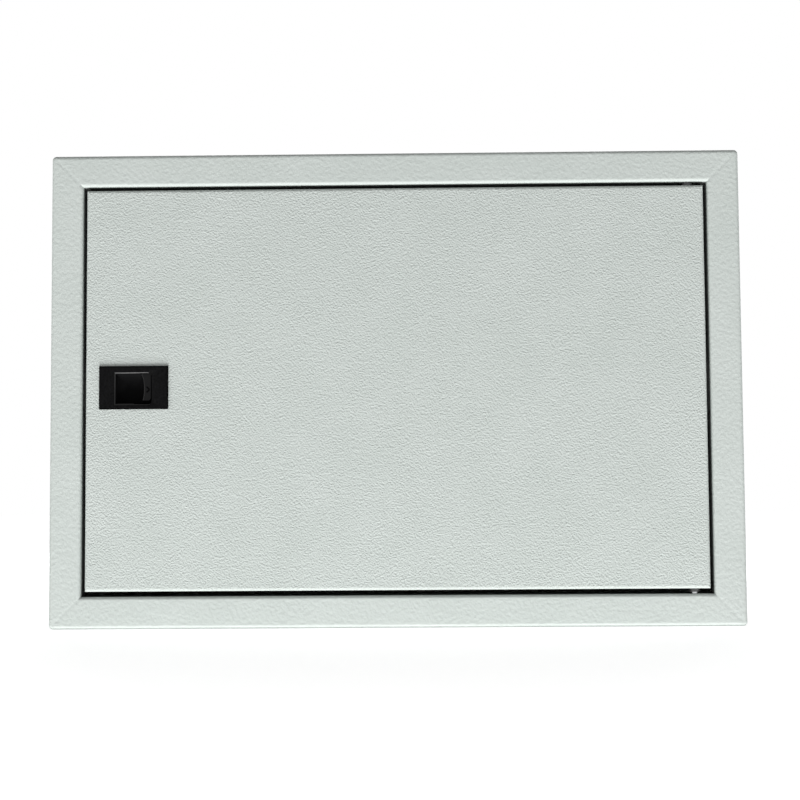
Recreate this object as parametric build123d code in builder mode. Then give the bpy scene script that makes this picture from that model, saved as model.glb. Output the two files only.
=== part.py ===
from build123d import *
import os

# Surface-mount distribution board: a folded sheet-steel box for one row of rail-mounted devices, with a
# flush hinged door, a slide latch and the fittings behind them. X runs along the width, Y back to the wall
# and Z up. The origin lies on the wall plane, at the centre of the four wall-fixing holes. Sizes are in
# millimetres, and a stand is a distance from the wall towards the room.

# Box, frame and sheet
box_width = 400.0
box_height = 275.0
box_depth = 100.0
sheet = 1.2  # wrap, back panel, door and inner cover
bend_radius = 1.8  # outside of the folds
edge_radius = 2.4  # outside of the wrap's outer folds and corners
corner_relief = 3.0  # notch that leaves the corners of the back panel and the inner cover open
frame_width = 18.4  # border of the box round the door
lip_depth = 16.0  # frame edge turned back towards the wall

# Knock-outs for cable glands, in the top and bottom walls
knockout_radius = 12.5
knockout_sides = 24  # that each ring is drawn with
knockout_pitch = 90.0
knockout_count = 3
knockout_stand = 45.0
knockout_groove_width = 0.5
knockout_groove_depth = 0.7

# Back panel and wall fixing
back_rim = 12.0
fixing_spacing_x = 300.0
fixing_spacing_z = 170.0
fixing_hole_radius = 3.5

# Door and hinge
door_gap = 2.3  # above the door and at its sides
door_gap_below = 3.1
stop_play = 0.3  # between the door's turned edge and its stops
stop_reach = 9.0
stop_height = 12.0
stop_spacing = 140.0
pivot_inset = 8.4  # from the door's right edge
pivot_set_back = 6.0  # behind the door's front
pin_radius = 2.0
press_fit = 0.02  # pins in the lip and bushes in the door
pin_head_radius = 3.5
pin_head_height = 1.5
pin_collar_upper = 0.2  # of each pin past the lip
pin_collar_lower = 1.0
spigot_radius = 1.5  # pin end that the bush turns on
spigot_clearance = 0.05
spigot_reach = 3.5  # past the door's sheet
bush_radius = 2.4
bush_flange_radius = 3.1
bush_reach = 2.0  # past the door's sheet
collar_play = 0.1  # between a pin's collar and its bush

# Slide latch in the door
bezel_width = 40.0
bezel_height = 25.0
bezel_proud = 1.6
bezel_edge = 0.8
bezel_inset = 8.0  # from the door's left edge
bezel_side_border = 9.5
bezel_top_border = 4.2
bezel_bottom_border = 2.8
bezel_overlap = 1.2  # over the cut-out in the door
window_corner = 2.0  # at the window's right end
window_edge = 0.4
latch_rise = 1.3  # above the door's middle
latch_wall = 1.2
latch_cut_clearance = 0.2
slide_clearance = 0.2
end_play = 0.25
slider_travel = 5.8
slider_depth = 10.6
scoop_wall = 1.0
scoop_width = 15.0
scoop_bulge = 1.4
scoop_height = 16.8
scoop_depth = 8.8
scoop_floor_bevel = 2.0
scoop_lip_bevel = 0.4
tongue_height = 10.0
tongue_thickness = 4.0
tongue_set_back = 8.0  # of its middle, behind the door's front
tongue_draw_back = 0.3  # inside the door's edge when released
tongue_bevel = 2.0
tongue_play = 0.5
strike_height = 31.0
strike_play = 1.0
strike_drop = 1.5  # middle of the strike slots below the latch
snap_width = 8.0
snap_length = 2.4
snap_rise = 0.8
snap_play = 0.1
cap_thickness = 1.2
cap_tab_width = 6.0
cap_tab_reach = 0.8
cap_tab_play = 0.2

# Inner cover and its pillars
cover_stand = 77.0  # front of the cover
cover_margin = 3.0  # inside the frame, so that it lifts out through the door
cover_return = 10.0
module_width = 17.5
module_count = 18
window_spare = 2.0
window_height = 46.0
pillar_across_flats = 8.0
pillar_inset = 14.0  # from the cover's edges
pillar_thread_depth = 14.0
cover_screw_length = 10.0

# Screws, and the sides that they, their holes and the terminal bars' cross holes are drawn with
fastener_sides = 10
m4_radius = 2.0
m4_head_radius = 4.0
m4_head_height = 2.6
m5_radius = 2.5
m5_head_radius = 4.75
m5_head_height = 3.2
m5_nut_across_flats = 8.0
m5_nut_height = 4.0
screw_end = 1.0  # thread past a nut
thread_clearance = 0.05
screw_clearance = 0.25

# Rail and its brackets
device_shoulder = 46.0  # from the rail's front to the back of the inner cover
rail_width = 35.0
rail_depth = 7.5
rail_channel_width = 27.0
rail_sheet = 1.0
rail_length = 330.0
rail_slot_length = 25.0
rail_slot_width = 5.2
rail_slot_pitch = 36.0
bracket_slot = 3  # slot, counted from the middle, that each bracket's screw goes through
bracket_sheet = 1.5
bracket_width = 25.0
bracket_top = 45.0
bracket_foot = 12.0
bend_inside = 0.5  # inside of the folds of rail and brackets

# Terminal bars on insulators, neutral above the rail and earth below it
bar_offset = 85.0  # of each bar's middle from the rail's
bar_stand = 32.0
bar_height = 8.0
bar_depth = 10.0
bar_chamfer = 0.5
bar_ways = 8
bar_pitch = 8.0
bar_end = 14.0
wire_hole_radius = 2.5
wire_hole_set_back = 5.5
insulator_across_flats = 14.0
insulator_thread_depth = 14.0
terminal_head_radius = 3.2
terminal_head_height = 2.2
fixing_screw_length = 20.0

# Earth stud on the back panel
stud_inset = 95.0  # from the left end of the box
stud_rise = 37.5  # from the bottom of the box
stud_radius = 3.0
stud_length = 20.0
stud_washer_radius = 6.0
stud_washer_height = 1.4
stud_nut_across_flats = 10.0
stud_nut_height = 5.0

# Frame, knock-outs and door, worked out from the sizes above
knockout_disc_radius = knockout_radius - knockout_groove_width
aperture_width = box_width - 2 * frame_width
aperture_height = box_height - 2 * frame_width
door_width = aperture_width - 2 * door_gap
door_height = aperture_height - door_gap - door_gap_below
door_middle = (door_gap_below - door_gap) / 2
door_return = lip_depth - sheet - stop_play
pivot_x = door_width / 2 - pivot_inset
pivot_y = pivot_set_back - box_depth
lip_back = aperture_height / 2 + sheet
front_plane = Plane.XZ.offset(box_depth)
door_plane = Plane((0, -box_depth, door_middle), x_dir=(1, 0, 0), z_dir=(0, -1, 0))
hinge_ends = ((1, door_gap, pin_collar_upper), (-1, door_gap_below, pin_collar_lower))

# Latch, in a plane on the door's front with its origin at the middle of the bezel
latch_x = bezel_inset + bezel_width / 2 - door_width / 2
latch_plane = Plane(origin=(latch_x, -box_depth, latch_rise), x_dir=(1, 0, 0), z_dir=(0, -1, 0))
body_width = bezel_width - 2 * bezel_overlap
body_height = bezel_height - 2 * bezel_overlap
body_depth = 2 * slide_clearance + slider_depth + cap_thickness
cavity_width = body_width - 2 * latch_wall
cavity_height = body_height - 2 * latch_wall
latch_window_width = bezel_width - 2 * bezel_side_border
latch_window_height = bezel_height - bezel_top_border - bezel_bottom_border
latch_window_middle = (bezel_bottom_border - bezel_top_border) / 2
slider_right = cavity_width / 2 - end_play
slider_left = slider_travel + end_play - cavity_width / 2
tongue_tip = tongue_draw_back - bezel_inset - bezel_width / 2
tongue_y = tongue_set_back - box_depth

# Inner cover, rail, terminal bars and earth stud
cover_width = aperture_width - 2 * cover_margin
cover_height = aperture_height - 2 * cover_margin
pillar_x = cover_width / 2 - pillar_inset
pillar_z = cover_height / 2 - pillar_inset
cover_back = cover_stand - sheet
cover_plane = Plane.XZ.offset(cover_stand)
cover_spots = GridLocations(2 * pillar_x, 2 * pillar_z, 2, 2)
rail_front = cover_back - device_shoulder
rail_base = rail_front - rail_depth
bracket_x = bracket_slot * rail_slot_pitch
rail_spots = GridLocations(2 * bracket_x, 0, 2, 1)
bar_front = bar_stand + bar_depth
bar_length = bar_ways * bar_pitch + 2 * bar_end
bar_fixing_x = bar_length / 2 - bar_end / 2
stud_foot = Plane((stud_inset - box_width / 2, -sheet, stud_rise - box_height / 2), z_dir=(0, -1, 0))

os.makedirs("parts", exist_ok=True)


def fold_pan(plane, width, height, reach, radius=bend_radius, round_corners=False):
    """Sheet closed on the plane, with its four edges folded through reach along the plane's normal."""
    with BuildSketch(plane) as outline:
        Rectangle(width, height)
    extrude(outline.sketch, amount=reach)
    closed_face = faces().filter_by(Axis.Y).sort_by_distance(plane.origin)[0]
    bends = closed_face.edges()
    if round_corners:
        bends += edges().filter_by(Axis.Y)
    fillet(bends, radius)
    open_face = faces().filter_by(Axis.Y).sort_by_distance(plane.origin)[-1]
    offset(amount=-sheet, openings=open_face)


def notch_corners(plane, width, height, reach):
    """Square reliefs cut out of a pan's corners, so that its folded edges stay apart there."""
    with BuildSketch(plane) as notches:
        with GridLocations(width, height, 2, 2):
            Rectangle(2 * corner_relief, 2 * corner_relief)
    extrude(notches.sketch, amount=reach, mode=Mode.SUBTRACT)


def set_screws(seat, spots, head_radius, head_height, shank_radius, shank_length):
    """Screws at the spots on a seat plane, with their heads along its normal and their shanks behind it."""
    for radius, reach in ((head_radius, head_height), (shank_radius, -shank_length)):
        with BuildSketch(seat) as rounds:
            with spots:
                RegularPolygon(radius, fastener_sides)
        extrude(rounds.sketch, amount=reach)


def turn_on_pivot(side, *steps):
    """Piece turned about the hinge's line from steps of radius and height, upwards or downwards by side."""
    with BuildSketch(Plane.XZ.offset(-pivot_y)) as profile:
        with BuildLine():
            Polyline(*[(pivot_x + radius, side * height) for radius, height in steps], close=True)
        make_face()
    revolve(profile.sketch, axis=Axis((pivot_x, pivot_y, 0), (0, 0, 1)))


# Wrap: four walls and the front frame, with the frame's inner edge turned back as a lip round the door.
with BuildPart() as enclosure_wrap:
    fold_pan(front_plane, box_width, box_height, -box_depth, edge_radius, round_corners=True)
    with BuildSketch(front_plane):
        Rectangle(aperture_width + 2 * sheet, aperture_height + 2 * sheet)
    extrude(amount=-lip_depth)
    with BuildSketch(front_plane):
        Rectangle(aperture_width, aperture_height)
    extrude(amount=-lip_depth, mode=Mode.SUBTRACT)
    frame_back = faces().filter_by(Axis.Y).sort_by(Axis.Y)[1]
    fillet(frame_back.inner_wires()[0].edges(), bend_radius - sheet)
    frame_front = faces().filter_by(Axis.Y).sort_by(Axis.Y)[0]
    fillet(frame_front.inner_wires()[0].edges(), bend_radius)
    # Two stops lanced from the left lip, which the closed door rests against
    with BuildSketch(front_plane.offset(-lip_depth)):
        with Locations((stop_reach / 2 - sheet / 2 - aperture_width / 2, 0)):
            with GridLocations(0, stop_spacing, 1, 2):
                Rectangle(stop_reach + sheet, stop_height)
    extrude(amount=sheet)
    # Strike slots for the latch's tongue in both side lips, so that the door can hang on either side
    with BuildSketch(Plane.YZ):
        with Locations((tongue_y, latch_rise - strike_drop)):
            Rectangle(tongue_thickness + 2 * strike_play, strike_height)
    extrude(amount=aperture_width / 2 + 2 * sheet, both=True, mode=Mode.SUBTRACT)
    # Holes for the two hinge pins in the upper and lower lips
    with BuildSketch(Plane.XY):
        with Locations((pivot_x, pivot_y)):
            Circle(pin_radius + press_fit)
    extrude(amount=aperture_height / 2 + 2 * sheet, both=True, mode=Mode.SUBTRACT)
    # Sheared rings of the knock-outs
    for side in (-1, 1):
        with BuildSketch(Plane.XY.offset(side * (box_height / 2 - knockout_groove_depth))):
            with Locations((0, -knockout_stand)):
                with GridLocations(knockout_pitch, 0, knockout_count, 1):
                    RegularPolygon(knockout_radius, knockout_sides)
                    RegularPolygon(knockout_disc_radius, knockout_sides, mode=Mode.SUBTRACT)
        extrude(amount=side * knockout_groove_depth, mode=Mode.SUBTRACT)
enclosure_wrap.part.label = "enclosure_wrap"
export_step(enclosure_wrap.part, "parts/enclosure_wrap.step")

# Back panel: a shallow tray welded into the rear of the wrap, with the wall-fixing holes.
with BuildPart() as back_panel:
    fold_pan(Plane.XZ, box_width - 2 * sheet, box_height - 2 * sheet, back_rim)
    notch_corners(Plane.XZ, box_width - 2 * sheet, box_height - 2 * sheet, back_rim)
    with Locations(Plane.XZ):
        with GridLocations(fixing_spacing_x, fixing_spacing_z, 2, 2):
            Hole(fixing_hole_radius)
back_panel.part.label = "back_panel"
export_step(back_panel.part, "parts/back_panel.step")

# Door: a folded pan, flush with the frame, cut out for the latch and pierced for the tongue and the pins.
with BuildPart() as door_panel:
    fold_pan(door_plane, door_width, door_height, -door_return)
    with BuildSketch(latch_plane):
        Rectangle(body_width + 2 * latch_cut_clearance, body_height + 2 * latch_cut_clearance)
    extrude(amount=-sheet, mode=Mode.SUBTRACT)
    with BuildSketch(Plane.YZ.offset(-door_width / 2)):
        with Locations((tongue_y, latch_rise)):
            Rectangle(tongue_thickness + 2 * tongue_play, tongue_height + 2 * tongue_play)
    extrude(amount=sheet, mode=Mode.SUBTRACT)
    with BuildSketch(Plane.XY):
        with Locations((pivot_x, pivot_y)):
            Circle(bush_radius + press_fit)
    extrude(amount=aperture_height / 2, both=True, mode=Mode.SUBTRACT)
door_panel.part.label = "door_panel"
export_step(door_panel.part, "parts/door_panel.step")

# Hinge pins: headed inside the frame and stepped down to a spigot. The lower pin's collar carries the door.
with BuildPart() as hinge_pins:
    for side, gap, pin_collar in hinge_ends:
        spigot_end = aperture_height / 2 - gap - sheet - spigot_reach
        turn_on_pivot(
            side,
            (0, lip_back + pin_head_height),
            (pin_head_radius, lip_back + pin_head_height),
            (pin_head_radius, lip_back),
            (pin_radius, lip_back),
            (pin_radius, aperture_height / 2 - pin_collar),
            (spigot_radius, aperture_height / 2 - pin_collar),
            (spigot_radius, spigot_end),
            (0, spigot_end),
        )
hinge_pins.part.label = "hinge_pins"
export_step(hinge_pins.part, "parts/hinge_pins.step")

# Hinge bushes: flanged, pressed into the door's turned edges, and running on the pins' spigots.
with BuildPart() as hinge_bushes:
    for side, gap, pin_collar in hinge_ends:
        flange_end = aperture_height / 2 - pin_collar - collar_play
        door_edge = aperture_height / 2 - gap
        bush_end = door_edge - sheet - bush_reach
        turn_on_pivot(
            side,
            (spigot_radius + spigot_clearance, flange_end),
            (bush_flange_radius, flange_end),
            (bush_flange_radius, door_edge),
            (bush_radius, door_edge),
            (bush_radius, bush_end),
            (spigot_radius + spigot_clearance, bush_end),
        )
hinge_bushes.part.label = "hinge_bushes"
export_step(hinge_bushes.part, "parts/hinge_bushes.step")

# Latch housing: moulded bezel with a body behind it that snaps into the door and guides the slider.
with BuildPart() as latch_housing:
    with BuildSketch(latch_plane):
        Rectangle(bezel_width, bezel_height)
    extrude(amount=bezel_proud)
    fillet(faces().sort_by(Axis.Y)[0].edges(), bezel_edge)
    with BuildSketch(latch_plane):
        Rectangle(body_width, body_height)
        Rectangle(cavity_width, cavity_height, mode=Mode.SUBTRACT)
    extrude(amount=-body_depth)
    with BuildSketch(latch_plane):
        with Locations((0, latch_window_middle)):
            Rectangle(latch_window_width, latch_window_height)
        fillet(vertices().group_by(Axis.X)[-1], window_corner)
    extrude(amount=bezel_proud, mode=Mode.SUBTRACT)
    chamfer(faces().sort_by(Axis.Y)[0].inner_wires()[0].edges(), window_edge)
    # Way out for the tongue through the left wall
    with BuildSketch(Plane.YZ.offset(latch_x - body_width / 2)):
        with Locations((tongue_y, latch_rise)):
            Rectangle(tongue_thickness + 2 * tongue_play, tongue_height + 2 * tongue_play)
    extrude(amount=latch_wall, mode=Mode.SUBTRACT)
    # Slots for the rear cap's tabs in the upper and lower walls
    with BuildSketch(latch_plane.offset(cap_thickness + cap_tab_play - body_depth)):
        Rectangle(cap_tab_width + 2 * cap_tab_play, body_height)
    extrude(amount=-cap_thickness - cap_tab_play, mode=Mode.SUBTRACT)
    # Wedges that snap behind the door's sheet
    for side in (-1, 1):
        with BuildSketch(Plane.YZ.offset(latch_x)):
            with BuildLine():
                Polyline(
                    (sheet + snap_play - box_depth, latch_rise + side * body_height / 2),
                    (sheet + snap_play - box_depth, latch_rise + side * (body_height / 2 + snap_rise)),
                    (sheet + snap_play + snap_length - box_depth, latch_rise + side * body_height / 2),
                    close=True,
                )
            make_face()
        extrude(amount=snap_width / 2, both=True)
latch_housing.part.label = "latch_housing"
export_step(latch_housing.part, "parts/latch_housing.step")

# Rear cap: a plate that closes the back of the housing behind the slider, held by two tabs.
with BuildPart() as latch_rear_cap:
    with BuildSketch(latch_plane.offset(cap_thickness - body_depth)):
        Rectangle(cavity_width - 2 * slide_clearance, cavity_height - 2 * slide_clearance)
        Rectangle(cap_tab_width, cavity_height + 2 * cap_tab_reach)
    extrude(amount=-cap_thickness)
latch_rear_cap.part.label = "latch_rear_cap"
export_step(latch_rear_cap.part, "parts/latch_rear_cap.step")

# Latch slider, drawn back: a moulded block with a finger scoop and the tongue that enters the strike slot.
with BuildPart() as latch_slider:
    with BuildSketch(latch_plane.offset(-slide_clearance)):
        with Locations(((slider_left + slider_right) / 2, 0)):
            Rectangle(slider_right - slider_left, cavity_height - 2 * slide_clearance)
    extrude(amount=-slider_depth)
    with BuildSketch(latch_plane.offset(-slide_clearance)):
        scoop_left = slider_left + scoop_wall
        scoop_right = scoop_left + scoop_width
        scoop_top = latch_window_middle + scoop_height / 2
        scoop_bottom = latch_window_middle - scoop_height / 2
        with BuildLine():
            Polyline(
                (scoop_right, scoop_top),
                (scoop_left, scoop_top),
                (scoop_left, scoop_bottom),
                (scoop_right, scoop_bottom),
            )
            ThreePointArc(
                (scoop_right, scoop_bottom),
                (scoop_right + scoop_bulge, latch_window_middle),
                (scoop_right, scoop_top),
            )
        make_face()
    extrude(amount=-scoop_depth, mode=Mode.SUBTRACT)
    scoop_floor = faces().filter_by(Axis.Y).sort_by(Axis.Y)[1]
    chamfer(scoop_floor.edges(), scoop_floor_bevel)
    slider_front = faces().filter_by(Axis.Y).sort_by(Axis.Y)[0]
    chamfer(slider_front.inner_wires()[0].edges().filter_by(GeomType.CIRCLE), scoop_lip_bevel)
    with BuildSketch(latch_plane.offset(tongue_thickness / 2 - tongue_set_back)):
        with Locations(((tongue_tip + slider_left) / 2, 0)):
            Rectangle(slider_left - tongue_tip, tongue_height)
    extrude(amount=-tongue_thickness)
    chamfer(edges().filter_by(Axis.Z).group_by(Axis.X)[0].sort_by(Axis.Y)[-1], tongue_bevel)
latch_slider.part.label = "latch_slider"
export_step(latch_slider.part, "parts/latch_slider.step")

# Inner cover: a folded plate behind the door, with the window that the devices' fronts look through.
with BuildPart() as inner_cover:
    fold_pan(cover_plane, cover_width, cover_height, -cover_return)
    notch_corners(cover_plane, cover_width, cover_height, -cover_return)
    with BuildSketch(cover_plane):
        Rectangle(module_count * module_width + window_spare, window_height)
    extrude(amount=-sheet, mode=Mode.SUBTRACT)
    with BuildSketch(cover_plane):
        with cover_spots:
            RegularPolygon(m4_radius + screw_clearance, fastener_sides)
    extrude(amount=-sheet, mode=Mode.SUBTRACT)
inner_cover.part.label = "inner_cover"
export_step(inner_cover.part, "parts/inner_cover.step")

# Pillars: hexagon rods welded to the back panel and tapped at the front for the cover's screws.
for name, x, z in (
    ("cover_pillar_upper_left", -pillar_x, pillar_z),
    ("cover_pillar_upper_right", pillar_x, pillar_z),
    ("cover_pillar_lower_left", -pillar_x, -pillar_z),
    ("cover_pillar_lower_right", pillar_x, -pillar_z),
):
    with BuildPart() as cover_pillar:
        with BuildSketch(Plane.XZ.offset(sheet)):
            with Locations((x, z)):
                RegularPolygon(pillar_across_flats / 2, 6, major_radius=False)
        extrude(amount=cover_back - sheet)
        with BuildSketch(Plane.XZ.offset(cover_back)):
            with Locations((x, z)):
                RegularPolygon(m4_radius + thread_clearance, fastener_sides)
        extrude(amount=-pillar_thread_depth, mode=Mode.SUBTRACT)
    cover_pillar.part.label = name
    export_step(cover_pillar.part, f"parts/{name}.step")

# Cover screws: four pan-head screws that hold the inner cover to its pillars.
with BuildPart() as cover_screws:
    set_screws(cover_plane, cover_spots, m4_head_radius, m4_head_height, m4_radius, cover_screw_length)
cover_screws.part.label = "cover_screws"
export_step(cover_screws.part, "parts/cover_screws.step")

# Rail: a 35 mm top-hat section, rolled from strip and slotted along its base.
with BuildPart() as din_rail:
    with BuildSketch(Plane.YZ):
        with BuildLine():
            FilletPolyline(
                (rail_sheet - rail_front, -rail_width / 2),
                (rail_sheet - rail_front, -rail_channel_width / 2),
                (-rail_base, -rail_channel_width / 2),
                (-rail_base, rail_channel_width / 2),
                (rail_sheet - rail_front, rail_channel_width / 2),
                (rail_sheet - rail_front, rail_width / 2),
                radius=rail_sheet + bend_inside,
            )
            offset(amount=rail_sheet, side=Side.LEFT)
        make_face()
    extrude(amount=rail_length / 2, both=True)
    with BuildSketch(Plane.XZ.offset(rail_base)):
        with GridLocations(rail_slot_pitch, 0, int(rail_length // rail_slot_pitch), 1):
            SlotOverall(rail_slot_length, rail_slot_width)
    extrude(amount=rail_sheet, mode=Mode.SUBTRACT)
din_rail.part.label = "din_rail"
export_step(din_rail.part, "parts/din_rail.step")

# Rail brackets: folded hats, spot-welded to the back panel by their feet.
for name, x in (("rail_bracket_left", -bracket_x), ("rail_bracket_right", bracket_x)):
    with BuildPart() as rail_bracket:
        with BuildSketch(Plane.YZ.offset(x)):
            with BuildLine():
                FilletPolyline(
                    (-sheet, -bracket_top / 2 - bracket_foot),
                    (-sheet, -bracket_top / 2),
                    (bracket_sheet - rail_base, -bracket_top / 2),
                    (bracket_sheet - rail_base, bracket_top / 2),
                    (-sheet, bracket_top / 2),
                    (-sheet, bracket_top / 2 + bracket_foot),
                    radius=bracket_sheet + bend_inside,
                )
                offset(amount=bracket_sheet, side=Side.LEFT)
            make_face()
        extrude(amount=bracket_width / 2, both=True)
        with BuildSketch(Plane.XZ.offset(rail_base)):
            with Locations((x, 0)):
                RegularPolygon(m5_radius + screw_clearance, fastener_sides)
        extrude(amount=-bracket_sheet, mode=Mode.SUBTRACT)
    rail_bracket.part.label = name
    export_step(rail_bracket.part, f"parts/{name}.step")

# Rail screws and the nuts behind the brackets.
with BuildPart() as rail_screws:
    rail_floor = Plane.XZ.offset(rail_base + rail_sheet)
    rail_grip = rail_sheet + bracket_sheet + m5_nut_height + screw_end
    set_screws(rail_floor, rail_spots, m5_head_radius, m5_head_height, m5_radius, rail_grip)
rail_screws.part.label = "rail_screws"
export_step(rail_screws.part, "parts/rail_screws.step")

with BuildPart() as rail_nuts:
    with BuildSketch(Plane.XZ.offset(rail_base - bracket_sheet)):
        with rail_spots:
            RegularPolygon(m5_nut_across_flats / 2, 6, major_radius=False)
            RegularPolygon(m5_radius + thread_clearance, fastener_sides, mode=Mode.SUBTRACT)
    extrude(amount=-m5_nut_height)
rail_nuts.part.label = "rail_nuts"
export_step(rail_nuts.part, "parts/rail_nuts.step")

# Terminal bars: neutral above and earth below, each on two insulators, with a screw for every way.
bar_spots = GridLocations(bar_pitch, 0, bar_ways, 1)
bar_fixing_spots = GridLocations(2 * bar_fixing_x, 0, 2, 1)
for bar, bar_z in (("neutral", bar_offset), ("earth", -bar_offset)):
    bar_face = Plane((0, -bar_front, bar_z), x_dir=(1, 0, 0), z_dir=(0, -1, 0))
    with BuildPart() as terminal_bar:
        with BuildSketch(bar_face):
            Rectangle(bar_length, bar_height)
        extrude(amount=-bar_depth)
        chamfer(edges().filter_by(Axis.X), bar_chamfer)
        # Cross holes for the wires, and the tapped holes that open into them
        with BuildSketch(Plane((0, wire_hole_set_back - bar_front, bar_z))):
            with bar_spots:
                RegularPolygon(wire_hole_radius, fastener_sides)
        extrude(amount=bar_height / 2, both=True, mode=Mode.SUBTRACT)
        with BuildSketch(bar_face):
            with bar_spots:
                RegularPolygon(m4_radius + thread_clearance, fastener_sides)
        extrude(amount=-wire_hole_set_back, mode=Mode.SUBTRACT)
        with BuildSketch(bar_face):
            with bar_fixing_spots:
                RegularPolygon(m4_radius + screw_clearance, fastener_sides)
        extrude(amount=-bar_depth, mode=Mode.SUBTRACT)
    terminal_bar.part.label = f"{bar}_bar"
    export_step(terminal_bar.part, f"parts/{bar}_bar.step")

    with BuildPart() as terminal_screws:
        set_screws(
            bar_face, bar_spots, terminal_head_radius, terminal_head_height, m4_radius, wire_hole_set_back
        )
    terminal_screws.part.label = f"{bar}_terminal_screws"
    export_step(terminal_screws.part, f"parts/{bar}_terminal_screws.step")

    with BuildPart() as bar_fixings:
        set_screws(
            bar_face, bar_fixing_spots, m4_head_radius, m4_head_height, m4_radius, fixing_screw_length
        )
    bar_fixings.part.label = f"{bar}_bar_fixings"
    export_step(bar_fixings.part, f"parts/{bar}_bar_fixings.step")

    # Insulators: moulded hexagon standoffs, threaded at the front for the bar's fixing screws
    for hand, x in (("left", -bar_fixing_x), ("right", bar_fixing_x)):
        with BuildPart() as insulator:
            with BuildSketch(Plane((x, -sheet, bar_z), x_dir=(1, 0, 0), z_dir=(0, -1, 0))):
                RegularPolygon(insulator_across_flats / 2, 6, major_radius=False)
            extrude(amount=bar_stand - sheet)
            with BuildSketch(Plane((x, -bar_stand, bar_z), x_dir=(1, 0, 0), z_dir=(0, -1, 0))):
                RegularPolygon(m4_radius + thread_clearance, fastener_sides)
            extrude(amount=-insulator_thread_depth, mode=Mode.SUBTRACT)
        insulator.part.label = f"{bar}_insulator_{hand}"
        export_step(insulator.part, f"parts/{bar}_insulator_{hand}.step")

# Earth stud welded to the back panel, with its washer and nut.
with BuildPart() as earth_stud:
    with BuildSketch(stud_foot):
        RegularPolygon(stud_radius, fastener_sides)
    extrude(amount=stud_length)
earth_stud.part.label = "earth_stud"
export_step(earth_stud.part, "parts/earth_stud.step")

with BuildPart() as earth_stud_washer:
    with BuildSketch(stud_foot):
        RegularPolygon(stud_washer_radius, fastener_sides)
        RegularPolygon(stud_radius + screw_clearance, fastener_sides, mode=Mode.SUBTRACT)
    extrude(amount=stud_washer_height)
earth_stud_washer.part.label = "earth_stud_washer"
export_step(earth_stud_washer.part, "parts/earth_stud_washer.step")

with BuildPart() as earth_stud_nut:
    with BuildSketch(stud_foot.offset(stud_washer_height)):
        RegularPolygon(stud_nut_across_flats / 2, 6, major_radius=False)
        RegularPolygon(stud_radius + thread_clearance, fastener_sides, mode=Mode.SUBTRACT)
    extrude(amount=stud_nut_height)
earth_stud_nut.part.label = "earth_stud_nut"
export_step(earth_stud_nut.part, "parts/earth_stud_nut.step")
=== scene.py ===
import math

import bpy
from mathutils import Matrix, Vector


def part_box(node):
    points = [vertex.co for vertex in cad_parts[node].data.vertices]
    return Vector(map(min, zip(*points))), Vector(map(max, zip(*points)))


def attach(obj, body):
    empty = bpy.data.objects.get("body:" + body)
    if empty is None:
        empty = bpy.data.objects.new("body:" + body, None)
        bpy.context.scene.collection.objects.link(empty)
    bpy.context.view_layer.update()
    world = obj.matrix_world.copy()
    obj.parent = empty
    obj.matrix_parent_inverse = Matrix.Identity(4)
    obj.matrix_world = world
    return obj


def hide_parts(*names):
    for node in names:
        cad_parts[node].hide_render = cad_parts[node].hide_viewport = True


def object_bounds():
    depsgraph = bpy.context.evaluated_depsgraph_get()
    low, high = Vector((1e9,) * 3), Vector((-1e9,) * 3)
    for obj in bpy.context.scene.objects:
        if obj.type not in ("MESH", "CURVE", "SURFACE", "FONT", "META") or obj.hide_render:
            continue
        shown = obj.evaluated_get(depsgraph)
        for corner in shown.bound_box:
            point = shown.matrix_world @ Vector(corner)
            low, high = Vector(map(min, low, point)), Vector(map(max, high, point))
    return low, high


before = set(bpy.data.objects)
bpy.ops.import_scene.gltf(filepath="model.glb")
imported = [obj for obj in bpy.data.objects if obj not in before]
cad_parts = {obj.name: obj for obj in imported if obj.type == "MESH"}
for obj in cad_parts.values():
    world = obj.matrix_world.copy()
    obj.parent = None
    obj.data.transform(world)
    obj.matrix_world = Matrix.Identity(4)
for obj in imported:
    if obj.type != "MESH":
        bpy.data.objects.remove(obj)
cad_low, cad_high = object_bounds()

# Enclosure wrap and back panel
# Walls, front frame and lip are folded from 1.2 mm steel sheet, mitred and welded, with a back panel welded
# in behind. The light grey textured powder coat has painted shade in the depth of the lip, darker further
# in.
coat_dark = (0.590, 0.636, 0.609)
coat_light = (0.617, 0.661, 0.636)
coat_roughness = 0.6
coat_gloss = 0.25
coat_drift = (0.03, 3.0)
frame_grain = (0.0020, 0.00029)
panel_grain = (0.0014, 0.00045)
grain_detail = 1.0
grain_turn = (0.6, 0.35, 0.8)
noise_middle = 0.5
tone_spread = 0.2
mitre_offset = cad_high.x - cad_high.z
mitre_width = 0.0022
mitre_depth = 0.00009
# Painted shade in the depth of the lip: its colour, and where it starts, deepens and ends.
lip_painted_shade = (0.085, 0.090, 0.087)
lip_front = cad_low.y + 0.0037
lip_deep = cad_low.y + 0.0065
lip_back = cad_low.y + 0.0182
lip_reach_x = 0.1842
lip_reach_z = 0.1217


def shader_of(finish):
    """The shader of a finish."""
    return finish.node_tree.nodes["Principled BSDF"]


def new_finish(name, roughness, metallic=0.0, gloss=0.5):
    """A material with one roughness, metal share and gloss all over."""
    finish = bpy.data.materials.new(name)
    finish.use_nodes = True
    sockets = shader_of(finish).inputs
    sockets["Roughness"].default_value = roughness
    sockets["Metallic"].default_value = metallic
    sockets["Specular IOR Level"].default_value = gloss
    return finish


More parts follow.
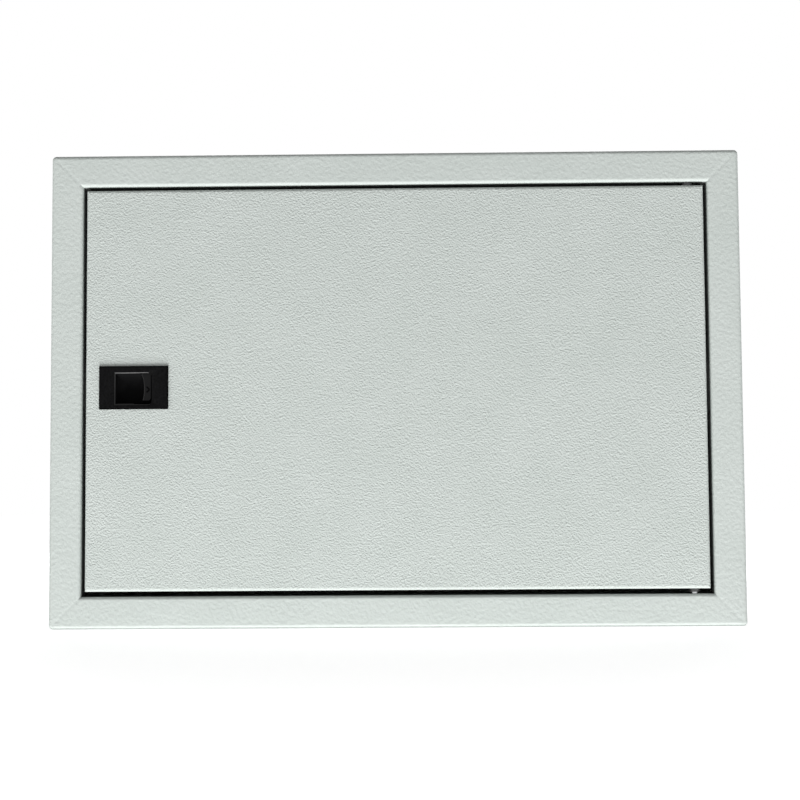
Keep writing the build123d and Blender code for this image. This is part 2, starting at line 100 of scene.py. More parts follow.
def speckle(finish, size, detail=2.0, stretch=(1.0, 1.0, 1.0)):
    """Noise with grains of a size in metres, on the piece's own coordinates."""
    tree = finish.node_tree
    place = tree.nodes.new("ShaderNodeTexCoord")
    turned = tree.nodes.new("ShaderNodeMapping")
    turned.inputs["Scale"].default_value = stretch
    turned.inputs["Rotation"].default_value = grain_turn
    noise = tree.nodes.new("ShaderNodeTexNoise")
    noise.inputs["Scale"].default_value = 1 / size
    noise.inputs["Detail"].default_value = detail
    tree.links.new(place.outputs["Object"], turned.inputs["Vector"])
    tree.links.new(turned.outputs["Vector"], noise.inputs["Vector"])
    return noise.outputs["Fac"]


def tones(finish, pattern, dark, light):
    """Colours a finish between two tones, by a pattern."""
    tree = finish.node_tree
    ramp = tree.nodes.new("ShaderNodeValToRGB")
    low, high = ramp.color_ramp.elements
    low.position = noise_middle - tone_spread
    low.color = (*dark, 1.0)
    high.position = noise_middle + tone_spread
    high.color = (*light, 1.0)
    tree.links.new(pattern, ramp.inputs["Fac"])
    tree.links.new(ramp.outputs["Color"], shader_of(finish).inputs["Base Color"])


def relief(finish, pattern, depth):
    """Raises a pattern by a depth in metres, over any relief that the finish has already."""
    tree = finish.node_tree
    normal = shader_of(finish).inputs["Normal"]
    bump = tree.nodes.new("ShaderNodeBump")
    bump.inputs["Distance"].default_value = depth
    if normal.is_linked:
        tree.links.new(normal.links[0].from_socket, bump.inputs["Normal"])
    tree.links.new(pattern, bump.inputs["Height"])
    tree.links.new(bump.outputs["Normal"], normal)


def powder_coat(name, grain, depth):
    """Light grey textured coat with a slow drift of tone and a grain of a size and a depth."""
    coat = new_finish(name, coat_roughness, gloss=coat_gloss)
    tones(coat, speckle(coat, *coat_drift), coat_dark, coat_light)
    relief(coat, speckle(coat, grain, grain_detail), depth)
    return coat


def coordinates(tree):
    """The X, Y and Z of a point, on the piece's own coordinates."""
    place = tree.nodes.new("ShaderNodeTexCoord")
    split = tree.nodes.new("ShaderNodeSeparateXYZ")
    tree.links.new(place.outputs["Object"], split.inputs["Vector"])
    return split.outputs


def reckon(tree, operation, first, second=None):
    """What an operation makes of one or two values, each of them a socket or a number."""
    step = tree.nodes.new("ShaderNodeMath")
    step.operation = operation
    for socket, value in zip(step.inputs, (first, second)):
        if isinstance(value, bpy.types.NodeSocket):
            tree.links.new(value, socket)
        elif value is not None:
            socket.default_value = value
    return step.outputs["Value"]


def smooth_rise(tree, value, start, end, low=0.0, high=1.0):
    """Low where a value is before the start, high past the end, and a smooth rise between."""
    rise = tree.nodes.new("ShaderNodeMapRange")
    rise.interpolation_type = "SMOOTHSTEP"
    rise.inputs["From Min"].default_value = start
    rise.inputs["From Max"].default_value = end
    rise.inputs["To Min"].default_value = low
    rise.inputs["To Max"].default_value = high
    tree.links.new(value, rise.inputs["Value"])
    return rise.outputs["Result"]


def mitre_valleys(finish):
    """Height that dips along the welded mitres in the front frame's four corners."""
    tree = finish.node_tree
    point = coordinates(tree)
    across = reckon(tree, "ABSOLUTE", point["X"])
    along = reckon(tree, "ABSOLUTE", point["Z"])
    slant = reckon(tree, "SUBTRACT", across, along)
    away = reckon(tree, "ABSOLUTE", reckon(tree, "SUBTRACT", slant, mitre_offset))
    return smooth_rise(tree, away, 0.0, mitre_width)


def paint_lip_shade(finish):
    """Paints shade into the coat in the depth of the lip round the door, darkening it from the front
    inwards.
    """
    tree = finish.node_tree
    base = shader_of(finish).inputs["Base Color"]
    point = coordinates(tree)
    across = reckon(tree, "ABSOLUTE", point["X"])
    along = reckon(tree, "ABSOLUTE", point["Z"])
    share = smooth_rise(tree, point["Y"], lip_front, lip_deep)
    for value, limit in ((across, lip_reach_x), (along, lip_reach_z), (point["Y"], lip_back)):
        share = reckon(tree, "MULTIPLY", share, reckon(tree, "LESS_THAN", value, limit))
    mix = tree.nodes.new("ShaderNodeMix")
    mix.data_type = "RGBA"
    sockets = {socket.identifier: socket for socket in (*mix.inputs, *mix.outputs)}
    sockets["B_Color"].default_value = (*lip_painted_shade, 1.0)
    tree.links.new(share, sockets["Factor_Float"])
    tree.links.new(base.links[0].from_socket, sockets["A_Color"])
    tree.links.new(sockets["Result_Color"], base)


def dress(finish, *names):
    """Gives a finish to CAD nodes."""
    for name in names:
        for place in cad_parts[name].material_slots:
            place.material = finish


frame_coat = powder_coat("frame_coat", *frame_grain)
relief(frame_coat, mitre_valleys(frame_coat), mitre_depth)
# Painted shade in the depth of the lip.
paint_lip_shade(frame_coat)
dress(frame_coat, "enclosure_wrap")
panel_coat = powder_coat("panel_coat", *panel_grain)
dress(panel_coat, "back_panel")

# Earth stud, washer and nut
# A threaded steel stud is welded to the back panel, and a washer and a hexagon nut clamp the earth wire
# on it. All three are bright zinc plated.
zinc_dark = (0.52, 0.53, 0.54)
zinc_light = (0.68, 0.69, 0.70)
zinc_roughness = 0.34
zinc_cloud = (0.006, 4.0)
zinc_mark = (0.0006, 3.0)
zinc_mark_depth = 0.00002
stud_radius = 0.003
stud_tip_bevel = 0.0007
thread_pitch = 0.001
thread_depth = 0.00045
thread_turns = 24
washer_radius = 0.006
washer_bore = 0.0031
washer_edge = 0.0002
washer_edge_segments = 2
stud_nut_flats = 0.010
nut_sides = 6
nut_chamfer = 0.085
round_sides = 48
smooth_angle = math.radians(32)
touch = 0.00001
seam_reach = touch / 4
merge_reach = 0.000001
spare = 0.001


def plated_steel(name, roughness):
    """Bright zinc plating with a faint cloudy tone and fine drawing marks."""
    plating = new_finish(name, roughness, metallic=1.0)
    tones(plating, speckle(plating, *zinc_cloud), zinc_dark, zinc_light)
    relief(plating, speckle(plating, *zinc_mark), zinc_mark_depth)
    return plating


zinc_plate = plated_steel("zinc_plate", zinc_roughness)


def select_only(piece):
    """Selects one piece and nothing else."""
    bpy.ops.object.select_all(action="DESELECT")
    piece.select_set(True)
    bpy.context.view_layer.objects.active = piece


def settle(name):
    """Names the piece just made and puts its place and turn into its mesh."""
    piece = bpy.context.object
    piece.name = name
    bpy.ops.object.transform_apply()
    return piece


def rod(name, sides, radius, axis, back, front, spin=0.0):
    """A straight rod along Y with a number of sides, round an axis."""
    bpy.ops.object.select_all(action="DESELECT")
    bpy.ops.mesh.primitive_cylinder_add(
        vertices=sides, radius=radius, depth=back - front, location=(axis.x, (back + front) / 2, axis.z),
        rotation=(math.pi / 2, spin, 0),
    )
    return settle(name)


def open_piece(piece, kind):
    """Opens a piece for editing with nothing of it selected, by face or by edge."""
    select_only(piece)
    bpy.ops.object.mode_set(mode="EDIT")
    bpy.ops.mesh.select_mode(type=kind)
    bpy.ops.mesh.select_all(action="DESELECT")


def open_whole(piece):
    """Opens a piece for editing with all of it selected."""
    open_piece(piece, "FACE")
    bpy.ops.mesh.select_all(action="SELECT")


def pick_faces(piece, wanted):
    """Opens a piece with the faces selected whose middle and normal are wanted."""
    open_piece(piece, "FACE")
    bpy.ops.object.mode_set(mode="OBJECT")
    for face in piece.data.polygons:
        face.select = wanted(face.center, face.normal)
    bpy.ops.object.mode_set(mode="EDIT")


def pick_edges(piece, wanted):
    """Opens a piece with the edges selected whose two ends are wanted."""
    open_piece(piece, "EDGE")
    bpy.ops.object.mode_set(mode="OBJECT")
    points = piece.data.vertices
    for edge in piece.data.edges:
        edge.select = wanted(*(points[end].co for end in edge.vertices))
    bpy.ops.object.mode_set(mode="EDIT")


def close_piece():
    """Ends the editing of a piece."""
    bpy.ops.object.mode_set(mode="OBJECT")


def bevel_rim(piece, axis, y, radius, size, segments):
    """Bevels the round rim that a piece has at one place along an axis."""
    def on_rim(*ends):
        off = [math.hypot(end.x - axis.x, end.z - axis.z) - radius for end in ends]
        return all(abs(end.y - y) < touch for end in ends) and all(abs(gap) < touch for gap in off)

    pick_edges(piece, on_rim)
    bpy.ops.mesh.bevel(offset=size, segments=segments)
    close_piece()


def cut(piece, cutter, way="DIFFERENCE"):
    """Cuts a piece with a cutter, joins them or keeps what they share, and takes the cutter away."""
    bpy.context.view_layer.objects.active = piece
    boolean = piece.modifiers.new("cut", "BOOLEAN")
    boolean.operation = way
    boolean.solver = "EXACT"
    boolean.object = cutter
    bpy.ops.object.modifier_apply(modifier="cut")
    bpy.data.objects.remove(cutter)


def copy_to(piece, name, shift):
    """A copy of a finished piece with a mesh of its own, moved by a shift."""
    select_only(piece)
    bpy.ops.object.duplicate()
    bpy.ops.transform.translate(value=shift)
    return settle(name)


def fit(piece, body, node):
    """Smooths a finished piece, sets it on its body and lets it stand for a CAD node."""
    open_whole(piece)
    bpy.ops.mesh.remove_doubles(threshold=seam_reach)
    bpy.ops.mesh.dissolve_degenerate(threshold=seam_reach)
    close_piece()
    bpy.ops.object.shade_smooth_by_angle(angle=smooth_angle)
    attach(piece, body)
    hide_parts(node)


def fit_row(piece, places):
    """Copies a piece from the first place to the others, each for the CAD node of its place on the box."""
    start = places[0][0]
    row = [piece]
    for number, (spot, node) in enumerate(places[1:], 2):
        row.append(copy_to(piece, f"{piece.name}_{number}", spot - start))
    for one, (spot, node) in zip(row, places):
        fit(one, "box", node)


def middle(node):
    """The middle of a CAD node's box."""
    low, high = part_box(node)
    return (low + high) / 2


def hex_nut(name, node, axis, flats, bore):
    """A hexagon nut as deep as its CAD node, with its corners chamfered at both ends."""
    low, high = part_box(node)
    corner = flats / math.sqrt(3)
    nut = rod(name, nut_sides, corner, axis, high.y, low.y, math.pi / nut_sides)
    blank = rod("blank", round_sides, corner + spare, axis, high.y, low.y)
    for end in (low.y, high.y):
        bevel_rim(blank, axis, end, corner + spare, spare + flats * nut_chamfer, 1)
    cut(nut, blank, "INTERSECT")
    cut(nut, rod("drill", round_sides, bore, axis, high.y + spare, low.y - spare))
    nut.data.materials.append(zinc_plate)
    return nut


stud_axis = middle("earth_stud")
stud_low, stud_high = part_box("earth_stud")
bpy.ops.object.select_all(action="DESELECT")
bpy.ops.mesh.primitive_plane_add(
    size=thread_pitch, location=(stud_axis.x, stud_high.y + thread_pitch, stud_axis.z),
)
bpy.ops.object.mode_set(mode="EDIT")
bpy.ops.mesh.merge(type="CENTER")
bpy.ops.transform.translate(value=(stud_radius - thread_depth, 0, 0))
for reach in (thread_depth, -thread_depth):
    bpy.ops.mesh.extrude_vertices_move(TRANSFORM_OT_translate={"value": (reach, -thread_pitch / 2, 0)})
bpy.ops.object.mode_set(mode="OBJECT")
thread = bpy.context.object.modifiers.new("thread", "SCREW")
thread.axis = "Y"
thread.screw_offset = -thread_pitch
thread.iterations = thread_turns
thread.steps = thread.render_steps = round_sides
bpy.ops.object.modifier_apply(modifier="thread")
stud = settle("threaded_stud")
open_whole(stud)
bpy.ops.mesh.remove_doubles(threshold=merge_reach)
for end, outward in ((stud_high.y, 1), (stud_low.y, -1)):
    bpy.ops.mesh.select_all(action="SELECT")
    bpy.ops.mesh.bisect(plane_co=(0, end, 0), plane_no=(0, outward, 0), use_fill=True, clear_outer=True)
bpy.ops.mesh.select_all(action="SELECT")
bpy.ops.mesh.normals_make_consistent(inside=False)
close_piece()
tip = rod("tip", round_sides, stud_radius + spare, stud_axis, stud_high.y + spare, stud_low.y)
bevel_rim(tip, stud_axis, stud_low.y, stud_radius + spare, spare + stud_tip_bevel, 1)
cut(stud, tip, "INTERSECT")
stud.data.materials.append(zinc_plate)
fit(stud, "box", "earth_stud")

washer_low, washer_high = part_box("earth_stud_washer")
washer = rod("stud_washer", round_sides, washer_radius, stud_axis, washer_high.y, washer_low.y)
cut(washer, rod("drill", round_sides, washer_bore, stud_axis, washer_high.y + spare, washer_low.y - spare))
for rim in (washer_radius, washer_bore):
    bevel_rim(washer, stud_axis, washer_low.y, rim, washer_edge, washer_edge_segments)
washer.data.materials.append(zinc_plate)
fit(washer, "box", "earth_stud_washer")

fit(hex_nut("stud_nut", "earth_stud_nut", stud_axis, stud_nut_flats, washer_bore),
    "box", "earth_stud_nut")

# Rail brackets, rail, screws and nuts
# Two folded steel hats are welded to the back panel and carry the slotted 35 mm rail on two screws with
# nuts behind. All of them are zinc plated, the rail with marks along its length from rolling.
rail_roughness = 0.38
roll_mark = 0.0008
roll_stretch = (0.02, 1.0, 1.0)
roll_mark_depth = 0.00004
rail_head = (0.00475, 0.0032)
rail_shank = 0.0024
rail_nut_flats = 0.008
pan_crown = 0.7
crown_segments = 6
cross_wings = ((0.0046, 0.0010, 0.0019, 0.5, False), (0.0046, 0.0010, 0.0019, 0.5, True))
shank_end = 0.0004
square_on = 0.9

rail_plate = plated_steel("rail_plate", rail_roughness)
relief(rail_plate, speckle(rail_plate, roll_mark, stretch=roll_stretch), roll_mark_depth)
dress(rail_plate, "din_rail")
dress(zinc_plate, "rail_bracket_left", "rail_bracket_right")


def block(name, low, high):
    """A block between two corners."""
    bpy.ops.object.select_all(action="DESELECT")
    bpy.ops.mesh.primitive_cube_add(
        size=1, location=[(a + b) / 2 for a, b in zip(low, high)], scale=[b - a for a, b in zip(low, high)],
    )
    return settle(name)


def faces_back(place, normal):
    """Whether a face looks straight back."""
    return normal.y > square_on


def driver_blade(axis, front, length, width, depth, taper, upright):
    """A cutter for one slot of a screw's head, which tapers towards its bottom."""
    half_x, half_z = (width / 2, length / 2) if upright else (length / 2, width / 2)
    bottom = front + depth
    blade = block("blade", (axis.x - half_x, front - spare, axis.z - half_z),
                  (axis.x + half_x, bottom, axis.z + half_z))
    pick_faces(blade, faces_back)
    bpy.ops.transform.resize(value=(taper, 1, taper), center_override=(axis.x, bottom, axis.z))
    close_piece()
    return blade


def headed_screw(name, node, axis, head, shank, crown, slots):
    """A screw as long as its CAD node, with a head of a radius and height, a round rim and slots."""
    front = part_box(node)[0].y
    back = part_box(node)[1].y
    radius, height = head
    screw = rod(name, round_sides, radius, axis, front + height, front)
    bevel_rim(screw, axis, front, radius, height * crown, crown_segments)
    pick_faces(screw, faces_back)
    bpy.ops.mesh.inset(thickness=radius - shank)
    bpy.ops.mesh.extrude_region_move(TRANSFORM_OT_translate={"value": (0, back - front - height, 0)})
    close_piece()
    bevel_rim(screw, axis, back, shank, shank_end, 1)
    for slot in slots:
        cut(screw, driver_blade(axis, front, *slot))
    screw.data.materials.append(zinc_plate)
    return screw


rail_spots = [middle("rail_bracket_left"), middle("rail_bracket_right")]
rail_screw = headed_screw("rail_screw", "rail_screws", rail_spots[0],
                          rail_head, rail_shank, pan_crown, cross_wings)
fit_row(rail_screw, [(spot, "rail_screws") for spot in rail_spots])
rail_nut = hex_nut("rail_nut", "rail_nuts", rail_spots[0], rail_nut_flats, rail_shank)
fit_row(rail_nut, [(spot, "rail_nuts") for spot in rail_spots])

# Terminal bars, insulators and screws
# Two drawn brass bars with cross holes stand on hexagonal plastic pillars, blue for neutral and green for
# earth. Slotted terminal screws clamp the wires, and two screws fix each bar.
brass_dark = (0.56, 0.38, 0.13)
brass_light = (0.72, 0.52, 0.21)
brass_roughness = 0.3
brass_cloud = (0.005, 4.0)
draw_mark = 0.0005
draw_stretch = (0.03, 1.0, 1.0)
draw_mark_depth = 0.00003
blue_dark = (0.012, 0.06, 0.26)
blue_light = (0.02, 0.085, 0.33)
green_dark = (0.016, 0.17, 0.045)
green_light = (0.026, 0.22, 0.06)
insulator_roughness = 0.42
mould_drift = 0.008
mould_grain = 0.0004
mould_grain_depth = 0.00003
bar_edge = 0.0006
bar_edge_segments = 3
ways = 8
way_pitch = 0.008
wire_hole = 0.0025
wire_hole_depth = 0.0055
wire_hole_edge = 0.0004
terminal_head = (0.0032, 0.0022)
terminal_slot = ((0.0080, 0.0009, 0.0011, 1.0, False),)
terminal_crown = 0.15
small_head = (0.004, 0.0026)
small_shank = 0.0019

drawn_brass = new_finish("drawn_brass", brass_roughness, metallic=1.0)
tones(drawn_brass, speckle(drawn_brass, *brass_cloud), brass_dark, brass_light)
relief(drawn_brass, speckle(drawn_brass, draw_mark, stretch=draw_stretch), draw_mark_depth)
bar_low, bar_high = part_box("neutral_bar")
bar_middle = middle("neutral_bar")
to_earth_bar = middle("earth_bar") - bar_middle
neutral_ways = []
for way in range(ways):
    spot = bar_middle.copy()
    spot.x += (way - (ways - 1) / 2) * way_pitch
    neutral_ways.append(spot)

terminal_bar = block("neutral_terminal_bar", bar_low, bar_high)
pick_edges(terminal_bar, lambda start, end: abs(start.x - end.x) > way_pitch)
bpy.ops.mesh.bevel(offset=bar_edge, segments=bar_edge_segments)
close_piece()
for spot in neutral_ways:
    bpy.ops.object.select_all(action="DESELECT")
    bpy.ops.mesh.primitive_cylinder_add(
        vertices=round_sides, radius=wire_hole, depth=bar_high.z - bar_low.z + 2 * spare,
        location=(spot.x, bar_low.y + wire_hole_depth, spot.z),
    )
    cut(terminal_bar, settle("drill"))


def on_wire_hole(start, end):
    """Whether an edge lies on the rim of a wire hole."""
    behind = start.y - bar_low.y - wire_hole_depth
    off = min(abs(math.hypot(start.x - spot.x, behind) - wire_hole) for spot in neutral_ways)
    return off < touch and abs(start.z - end.z) < touch


pick_edges(terminal_bar, on_wire_hole)
bpy.ops.mesh.bevel(offset=wire_hole_edge, segments=1)
close_piece()
terminal_bar.data.materials.append(drawn_brass)
earth_terminal_bar = copy_to(terminal_bar, "earth_terminal_bar", to_earth_bar)
fit(terminal_bar, "box", "neutral_bar")
fit(earth_terminal_bar, "box", "earth_bar")


def moulded_plastic(name, dark, light, roughness, gloss=0.5, drift=mould_drift):
    """Moulded plastic with a slight drift of tone and a fine mould grain."""
    plastic = new_finish(name, roughness, gloss=gloss)
    tones(plastic, speckle(plastic, drift), dark, light)
    relief(plastic, speckle(plastic, mould_grain), mould_grain_depth)
    return plastic


neutral_blue = moulded_plastic("neutral_blue", blue_dark, blue_light, insulator_roughness)
earth_green = moulded_plastic("earth_green", green_dark, green_light, insulator_roughness)
for side in ("left", "right"):
    dress(neutral_blue, f"neutral_insulator_{side}")
    dress(earth_green, f"earth_insulator_{side}")
terminal_places = [(spot, "neutral_terminal_screws") for spot in neutral_ways]
terminal_places += [(spot + to_earth_bar, "earth_terminal_screws") for spot in neutral_ways]
terminal_screw = headed_screw("terminal_screw", "neutral_terminal_screws", neutral_ways[0],
                              terminal_head, small_shank, terminal_crown, terminal_slot)
fit_row(terminal_screw, terminal_places)
fixing_places = [(middle(f"{bar}_insulator_{side}"), f"{bar}_bar_fixings")
                 for bar in ("neutral", "earth") for side in ("left", "right")]
bar_fixing = headed_screw("bar_fixing", "neutral_bar_fixings", fixing_places[0][0],
                          small_head, small_shank, pan_crown, cross_wings)
fit_row(bar_fixing, fixing_places)

# Inner cover, its pillars and screws
# A folded sheet cover with a window for the modules closes the inside. Four pan-head screws hold it to
# hexagonal steel pillars that are welded to the back panel.
dress(panel_coat, "inner_cover")
pillars = [f"cover_pillar_{height}_{side}" for height in ("upper", "lower") for side in ("left", "right")]
dress(zinc_plate, *pillars)
cover_places = [(middle(pillar), "cover_screws") for pillar in pillars]
cover_screw = headed_screw("cover_screw", "cover_screws", cover_places[0][0],
                           small_head, small_shank, pan_crown, cross_wings)
fit_row(cover_screw, cover_places)

# Door
# A folded steel pan that sits flush in the front frame. Its textured powder coat has a finer, deeper
# grain than the frame's.
door_grain = (0.00095, 0.00061)
door_coat = powder_coat("door_coat", *door_grain)
dress(door_coat, "door_panel")

# Hinge pins and bushes
# Two turned steel pins, upper and lower, are pressed into the frame's lip, and their spigots run in flanged
# nylon bushes in the door's turned edges. The pins are bright zinc plated, the bushes dark grey.
nylon_dark = (0.070, 0.071, 0.072)
nylon_light = (0.095, 0.096, 0.097)
nylon_roughness = 0.4
dress(zinc_plate, "hinge_pins")
bush_nylon = moulded_plastic("bush_nylon", nylon_dark, nylon_light, nylon_roughness)
dress(bush_nylon, "hinge_bushes")

# Slide latch
# A black plastic housing snaps into the door, with a slider that has a finger scoop and a tongue. The
# housing has a fine matt grain, the slider is smoother and the window's upper edge is worn bright.
black_dark = (0.0025, 0.0025, 0.0027)
black_light = (0.0040, 0.0040, 0.0042)
housing_dark = (0.0005, 0.0005, 0.0006)
housing_light = (0.0058, 0.0058, 0.0062)
housing_grain = 0.0011
scoop_dark = (0.010, 0.010, 0.0105)
scoop_light = (0.013, 0.013, 0.0135)
housing_sheen = (0.48, 0.05)
slider_sheen = (0.36, 0.12)
scoop_sheen = (0.7, 0.0)
shade_sheen = (0.8, 0.0)
edge_sheen = (0.3, 0.3)
worn_sheen = (0.2, 1.0)
worn_index = 1.65
window_low = (-0.0105, -0.0097)
window_high = (0.0105, 0.0083)
window_edge = 0.0004
bezel_proud = 0.0016
front_slope = -0.3
side_slope = 0.6
under_slope = -0.7
flat_front = -0.97
slide_left = -0.01155
tongue_half = 0.005
tongue_front, tongue_back = 0.0058, 0.0098
tongue_bevel = 0.002
scoop_wall = 0.001
scoop_width = 0.015
scoop_bulge = 0.0014
scoop_low, scoop_high = -0.0091, 0.0077
scoop_depth = 0.0088
scoop_bowl = 0.0062
bowl_segments = 10
arc_sides = 192
scoop_lip = 0.0005
scoop_lip_segments = 3
plate_right = 0.0098
plate_bottom = -0.0074
plate_corner = 0.0014
plate_corner_segments = 6
plate_rise = 0.0015
arrow_tip_x, arrow_tip_z = 0.0091, -0.0011
arm_length, arm_width = 0.0024, 0.0008
arrow_angle = math.radians(43)
arrow_depth = 0.0005

housing_black = moulded_plastic("housing_black", housing_dark, housing_light, *housing_sheen, housing_grain)
slider_black = moulded_plastic("slider_black", black_dark, black_light, *slider_sheen)
scoop_black = moulded_plastic("scoop_black", scoop_dark, scoop_light, *scoop_sheen)
shade_black = moulded_plastic("shade_black", black_dark, black_light, *shade_sheen)
edge_black = moulded_plastic("edge_black", black_dark, black_light, *edge_sheen)
worn_black = moulded_plastic("worn_black", black_dark, black_light, *worn_sheen)
shader_of(worn_black).inputs["IOR"].default_value = worn_index
dress(housing_black, "latch_rear_cap")


def finish_faces(piece, finish, wanted):
    """Gives one of a piece's finishes to the faces that are wanted."""
    pick_faces(piece, wanted)
    piece.active_material_index = piece.data.materials.find(finish.name)
    bpy.ops.object.material_slot_assign()
    close_piece()


latch_middle = middle("latch_housing")
bezel_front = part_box("latch_housing")[0].y
bpy.ops.object.select_all(action="DESELECT")
bezel = bpy.data.objects.new("latch_bezel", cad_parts["latch_housing"].data.copy())
bpy.context.collection.objects.link(bezel)
open_whole(bezel)
bpy.ops.mesh.remove_doubles(threshold=merge_reach)
close_piece()
bezel.data.materials.clear()
for finish in (housing_black, edge_black, worn_black, shade_black):
    bezel.data.materials.append(finish)


def in_window(place):
    """Whether a point lies within the window's edge, seen from the front."""
    x, z = place.x - latch_middle.x, place.z - latch_middle.z
    return (window_low[0] - window_edge - touch < x < window_high[0] + window_edge + touch
            and window_low[1] - window_edge - touch < z < window_high[1] + window_edge + touch)


def on_window_edge(place, normal):
    """Whether a face is one of the bevels round the window."""
    return in_window(place) and normal.y < front_slope


finish_faces(bezel, housing_black, lambda place, normal: True)
finish_faces(bezel, edge_black, lambda place, normal: on_window_edge(place, normal)
             and max(normal.x, normal.z) > side_slope)
finish_faces(bezel, worn_black, lambda place, normal: on_window_edge(place, normal)
             and normal.z < under_slope)
finish_faces(bezel, shade_black, lambda place, normal: not in_window(place)
             and place.y < bezel_front + bezel_proud and normal.y > flat_front)
fit(bezel, "door", "latch_housing")

slider_low, slider_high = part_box("latch_slider")
slide_end = latch_middle.x + slide_left
slide = block("latch_slide", (slide_end, slider_low.y, slider_low.z), slider_high)
tongue = block(
    "tongue",
    (slider_low.x, slider_low.y + tongue_front, latch_middle.z - tongue_half),
    (slide_end + spare, slider_low.y + tongue_back, latch_middle.z + tongue_half),
)
pick_edges(tongue, lambda start, end: max(start.x, end.x) < slider_low.x + touch
           and min(start.y, end.y) > slider_low.y + tongue_back - touch)
bpy.ops.mesh.bevel(offset=tongue_bevel, segments=1)
close_piece()
cut(slide, tongue, "UNION")

scoop_left = slide_end + scoop_wall
scoop_right = scoop_left + scoop_width + scoop_bulge
scoop_bottom = latch_middle.z + scoop_low
scoop_top = latch_middle.z + scoop_high
scoop_floor = slider_low.y + scoop_depth
scoop_half = (scoop_high - scoop_low) / 2
arc_radius = (scoop_half ** 2 + scoop_bulge ** 2) / (2 * scoop_bulge)
arc_axis = latch_middle.copy()
arc_axis.x = scoop_right - arc_radius
arc_axis.z = (scoop_bottom + scoop_top) / 2
scoop = block("scoop", (scoop_left, slider_low.y - spare, scoop_bottom),
              (scoop_right + scoop_bowl + spare, scoop_floor, scoop_top))
pick_edges(scoop, lambda start, end: min(start.y, end.y) > scoop_floor - touch)
bpy.ops.mesh.bevel(offset=scoop_bowl, segments=bowl_segments)
close_piece()
arc = rod("arc", arc_sides, arc_radius, arc_axis, scoop_floor + touch, slider_low.y - 2 * spare)
bevel_rim(arc, arc_axis, scoop_floor + touch, arc_radius, scoop_bowl, bowl_segments)
cut(scoop, arc, "INTERSECT")
cut(slide, scoop)

plate_x = latch_middle.x + plate_right
plate_z = latch_middle.z + plate_bottom
skirt_y = slider_low.y + plate_rise
step = block("step", (plate_x, slider_low.y - spare, slider_low.z - spare),
             (slider_high.x + spare, skirt_y, slider_high.z + spare))
cut(step, block("foot", (latch_middle.x, slider_low.y - spare, slider_low.z - spare),
                (plate_x + spare, skirt_y, plate_z)), "UNION")
pick_edges(step, lambda start, end: all(abs(point.x - plate_x) < touch and abs(point.z - plate_z) < touch
                                        for point in (start, end)))
bpy.ops.mesh.bevel(offset=plate_corner, segments=plate_corner_segments)
close_piece()
cut(slide, step)
arm_x = latch_middle.x + arrow_tip_x - arm_length / 2 * math.cos(arrow_angle)
for side in (1, -1):
    arm_z = latch_middle.z + arrow_tip_z + side * arm_length / 2 * math.sin(arrow_angle)
    bpy.ops.object.select_all(action="DESELECT")
    bpy.ops.mesh.primitive_cube_add(
        size=1, location=(arm_x, slider_low.y, arm_z), rotation=(0, side * arrow_angle, 0),
        scale=(arm_length, 2 * arrow_depth, arm_width),
    )
    cut(slide, settle("arm"))


def in_scoop(place, normal):
    """Whether a face lies in the finger scoop, behind the slider's front."""
    return (slider_low.y + touch < place.y < scoop_floor + touch
            and scoop_left - touch < place.x < scoop_right + touch
            and scoop_bottom - touch < place.z < scoop_top + touch)


def on_step(place, normal):
    """Whether a face lies on the step to the right of the plate and under it."""
    beside = place.x > plate_x - plate_corner or place.z < plate_z + plate_corner or place.x > scoop_right
    return slider_low.y + touch < place.y < skirt_y + touch and beside


def on_scoop_lip(start, end):
    """Whether an edge lies on the scoop's curved edge, in the slider's front."""
    off = [math.hypot(point.x - arc_axis.x, point.z - arc_axis.z) - arc_radius for point in (start, end)]
    return max(start.y, end.y) < slider_low.y + touch and all(abs(gap) < 2 * touch for gap in off)


for finish in (slider_black, scoop_black, edge_black, shade_black):
    slide.data.materials.append(finish)
finish_faces(slide, scoop_black, in_scoop)
finish_faces(slide, shade_black, on_step)
pick_edges(slide, on_scoop_lip)
bpy.ops.mesh.bevel(
    offset=scoop_lip, segments=scoop_lip_segments, material=slide.data.materials.find(edge_black.name),
)
close_piece()
fit(slide, "slider", "latch_slider")

# Floor
# A plain pale sheet that the board stands on. It shows white, a little less so near the board, and throws no
# shadow on what is lit from below. A pad right under the board keeps that light off its underside.
floor_colour = (0.9, 0.9, 0.9, 1.0)
floor_roughness = 0.9
floor_span = 12.0
white = (1.0, 1.0, 1.0, 1.0)
near_glow = 0.705
far_glow = 0.81
glow_start = 0.24
glow_end = 0.50
pad_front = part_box("enclosure_wrap")[0].y
pad_drop = 0.0001

bpy.ops.object.select_all(action="DESELECT")
bpy.ops.mesh.primitive_plane_add(size=floor_span, location=(0, 0, cad_low.z))
floor = bpy.context.object
floor.name = "floor"
pale_sheet = new_finish("pale_sheet", floor_roughness, gloss=0.0)
sheet_tree = pale_sheet.node_tree
sheet_shader = shader_of(pale_sheet)
sheet_shader.inputs["Base Color"].default_value = floor_colour
sheet_shader.inputs["Emission Color"].default_value = white


def seen_rays(tree):
    """One for rays from the camera or from a mirror or glass, and zero for the rest."""
    rays = tree.nodes.new("ShaderNodeLightPath").outputs
    seen = reckon(tree, "MAXIMUM", rays["Is Camera Ray"], rays["Is Glossy Ray"])
    return reckon(tree, "MAXIMUM", seen, rays["Is Transmission Ray"])


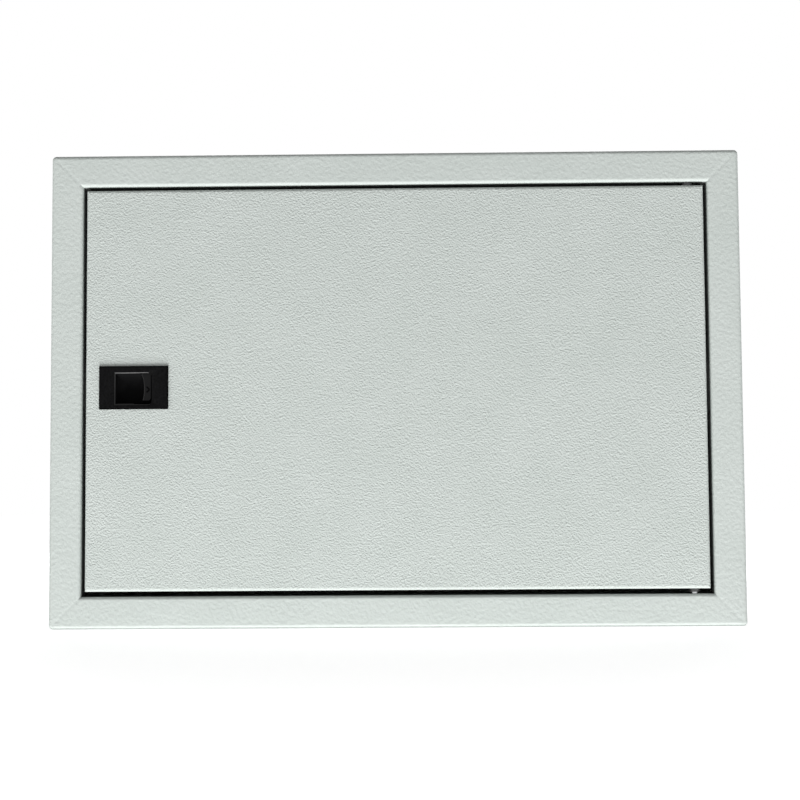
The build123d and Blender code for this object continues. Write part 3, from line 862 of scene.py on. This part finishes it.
sheet_place = sheet_tree.nodes.new("ShaderNodeTexCoord")
sheet_distance = sheet_tree.nodes.new("ShaderNodeVectorMath")
sheet_distance.operation = "LENGTH"
sheet_tree.links.new(sheet_place.outputs["Object"], sheet_distance.inputs[0])
sheet_glow = smooth_rise(sheet_tree, sheet_distance.outputs["Value"],
                         glow_start, glow_end, near_glow, far_glow)
sheet_strength = reckon(sheet_tree, "MULTIPLY", seen_rays(sheet_tree), sheet_glow)
sheet_tree.links.new(sheet_strength, sheet_shader.inputs["Emission Strength"])
floor.data.materials.append(pale_sheet)
floor.visible_shadow = False
bpy.ops.mesh.primitive_plane_add(size=1.0, location=(0, (pad_front + cad_high.y) / 2, cad_low.z - pad_drop))
pad = bpy.context.object
pad.name = "pad"
pad.scale = (cad_high.x - cad_low.x, cad_high.y - pad_front, 1.0)
pad.visible_camera = False
pad.data.materials.append(pale_sheet)

# Light
# A pale room, glowing sheets on the floor before and behind the board, and soft boxes low in front of it,
# at its left and high behind it. The camera sees none of the lamps.
room_level = 0.22
glow_rise = 0.0001
glow_tuck = 0.004
front_glow_size = (2.4, 1.6)
front_glow_level = 0.52
back_glow_size = (2.4, 1.0)
back_glow_level = 0.4
under_box_size = (3.0, 3.0)
under_box_level = 8.6
under_box_place = (0.0, -2.5, -4.16)
under_box_turn = (math.radians(150), 0.0, 0.0)
left_box_size = (1.0, 1.0)
left_box_level = 1.0
left_box_place = (-1.7, -0.9, 0.1)
left_box_turn = (math.radians(90), 0.0, math.radians(-64))
top_box_size = (1.2, 0.6)
top_box_level = 3.2
top_box_place = (0.0, 0.95, 0.65)
top_box_turn = (math.radians(-55), 0.0, 0.0)

room = bpy.data.worlds.new("pale_room")
bpy.context.scene.world = room
room.use_nodes = True
room_shader = room.node_tree.nodes["Background"]
room_shader.inputs["Color"].default_value = white
room_strength = smooth_rise(room.node_tree, seen_rays(room.node_tree), 0.0, 1.0, room_level, 1.0)
room.node_tree.links.new(room_strength, room_shader.inputs["Strength"])


def soft_lamp(name, size, level, place, turn):
    """A soft rectangular lamp that looks as bright as its level, where 1 is white."""
    bpy.ops.object.light_add(type="AREA", location=place, rotation=turn)
    lamp = bpy.context.object
    lamp.name = name
    lamp.data.shape = "RECTANGLE"
    lamp.data.size, lamp.data.size_y = size
    lamp.data.energy = level * math.pi * size[0] * size[1]
    lamp.visible_camera = False


face_up = (math.pi, 0.0, 0.0)
glow_height = cad_low.z + glow_rise
front_glow_place = (0.0, cad_low.y + glow_tuck - front_glow_size[1] / 2, glow_height)
back_glow_place = (0.0, cad_high.y + back_glow_size[1] / 2, glow_height)
soft_lamp("front_glow", front_glow_size, front_glow_level, front_glow_place, face_up)
soft_lamp("back_glow", back_glow_size, back_glow_level, back_glow_place, face_up)
soft_lamp("under_box", under_box_size, under_box_level, under_box_place, under_box_turn)
soft_lamp("left_box", left_box_size, left_box_level, left_box_place, left_box_turn)
soft_lamp("top_box", top_box_size, top_box_level, top_box_place, top_box_turn)

# Camera
# It stands a little below the board's middle and to its right, and looks slightly up.
camera_place = (0.01575, -0.96383, -0.06337)
camera_turn = (93.7333, 0.3842, 0.8944)
camera_lens = 67.57
camera_sensor = 36.0

bpy.ops.object.camera_add(location=camera_place, rotation=[math.radians(angle) for angle in camera_turn])
camera = bpy.context.object
camera.data.lens = camera_lens
camera.data.sensor_width = camera_sensor
bpy.context.scene.camera = camera
bpy.context.scene.view_settings.view_transform = "Standard"
